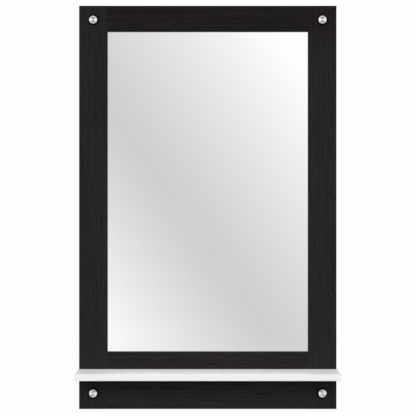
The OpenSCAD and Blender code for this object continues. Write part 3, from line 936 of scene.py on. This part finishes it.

# ---- Washers -------------------------------------------------------------------------
# Black nylon washers between the caps and the frame, which turn loose when a cap is unscrewed.
# They show as a dark ring round each cap: near-black, darker than nylon's own colour, and so
# partly painted shade round the cap.
washer_nylon_and_shade, tree = plain_material("washer_nylon_and_shade")
sheen = stretched_noise(tree, object_coordinates(tree), (0.0018, 0.0018, 0.0018), detail=3.0)
# near-black: partly nylon's own colour, partly painted shade round the cap
nylon_and_shade_colour = blend_colours(tree, sheen, (0.0012, 0.0012, 0.0012, 1), (0.0022, 0.0021, 0.0021, 1))
nylon_roughness = vary(tree, sheen, 0.50, 0.62)
finish(washer_nylon_and_shade, nylon_and_shade_colour, nylon_roughness, sheen, bump=0.00002, Specular_IOR_Level=0.04)


def at_corner(piece, corner, name):
    """A copy, with a mesh of its own, of a piece made at the top right corner."""
    side, level = CORNERS[corner]
    copy = piece.copy()
    copy.data = piece.data.copy()
    copy.name = copy.data.name = name + corner
    scene.collection.objects.link(copy)
    for vert in copy.data.vertices:
        vert.co.x += (side - 1) * wall_x
        vert.co.z += (level - 1) * wall_z
    return copy


corner_on_face = Vector((wall_x, board_low.y, wall_z))
washer_low, washer_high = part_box("cap_washer_top_right")
WASHER_R = (washer_high.x - washer_low.x) / 2
WASHER_T = washer_high.y - washer_low.y
WASHER_BORE_R = 0.0077
EASE = 0.0001
washer = turned("washer", corner_on_face, [
    (WASHER_BORE_R, EASE), (WASHER_BORE_R, WASHER_T - EASE), (WASHER_BORE_R + EASE, WASHER_T),
    (WASHER_R - 2 * EASE, WASHER_T), (WASHER_R, WASHER_T - 2 * EASE), (WASHER_R, EASE),
    (WASHER_R - EASE, 0), (WASHER_BORE_R + EASE, 0), (WASHER_BORE_R, EASE)], sides=96)
washer.data.materials.append(washer_nylon_and_shade)
smooth(washer)
for corner in CORNERS:
    copy = at_corner(washer, corner, "washer_ring_")
    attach(copy, "washer_" + corner)
    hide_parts("cap_washer_" + corner)
bpy.data.objects.remove(washer)

# ---- Caps ----------------------------------------------------------------------------
# Turned steel caps, each a shell with a flat front inside a round shoulder, that screw over the
# seats and hide the wall screws. The front is faced off in one cut, which leaves fine rings.
cap_low, cap_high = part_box("cap_top_right")
CAP_R = (cap_high.x - cap_low.x) / 2
CAP_FRONT = board_low.y - cap_low.y
CAP_FOOT = board_low.y - cap_high.y
CAP_BORE_R = 0.0075
CAP_BORE_L = 0.0052
CAP_BORE_END = CAP_FOOT + CAP_BORE_L
SHOULDER_R = 0.0018
SHOULDER_STEPS = 10
DIMPLE_R = 0.0006
cap_steel = turned_metal("cap_steel", dull=(0.925, 0.925, 0.93), bright=(0.955, 0.955, 0.955),
                         roughness=(0.10, 0.16), pitch=0.00012, tip=0.28)
flat_r = CAP_R - SHOULDER_R
turns = [math.radians(90 * step / SHOULDER_STEPS) for step in range(SHOULDER_STEPS + 1)]
shoulder = [(flat_r + SHOULDER_R * math.cos(turn), CAP_FRONT - SHOULDER_R + SHOULDER_R * math.sin(turn))
            for turn in turns]
cap = turned("cap", corner_on_face, [
    (CAP_BORE_R, CAP_BORE_END), (CAP_BORE_R, CAP_FOOT + 3 * EASE), (CAP_BORE_R + 3 * EASE, CAP_FOOT),
    (CAP_R - 2 * EASE, CAP_FOOT), (CAP_R, CAP_FOOT + 2 * EASE), *shoulder,
    (DIMPLE_R, CAP_FRONT), (DIMPLE_R / 2, CAP_FRONT - EASE)], sides=128)
cap.data.materials.append(cap_steel)
smooth(cap)
for corner in CORNERS:
    copy = at_corner(cap, corner, "turned_cap_")
    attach(copy, "cap_" + corner)
    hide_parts("cap_" + corner)
bpy.data.objects.remove(cap)

# ---- Sizes -----------------------------------------------------------------------------
# The CAD model's box and the finished model's box, as plain lists.
boxes = {"cad": cad_box, "visual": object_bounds()}
{name: [list(corner) for corner in box] for name, box in boxes.items()}
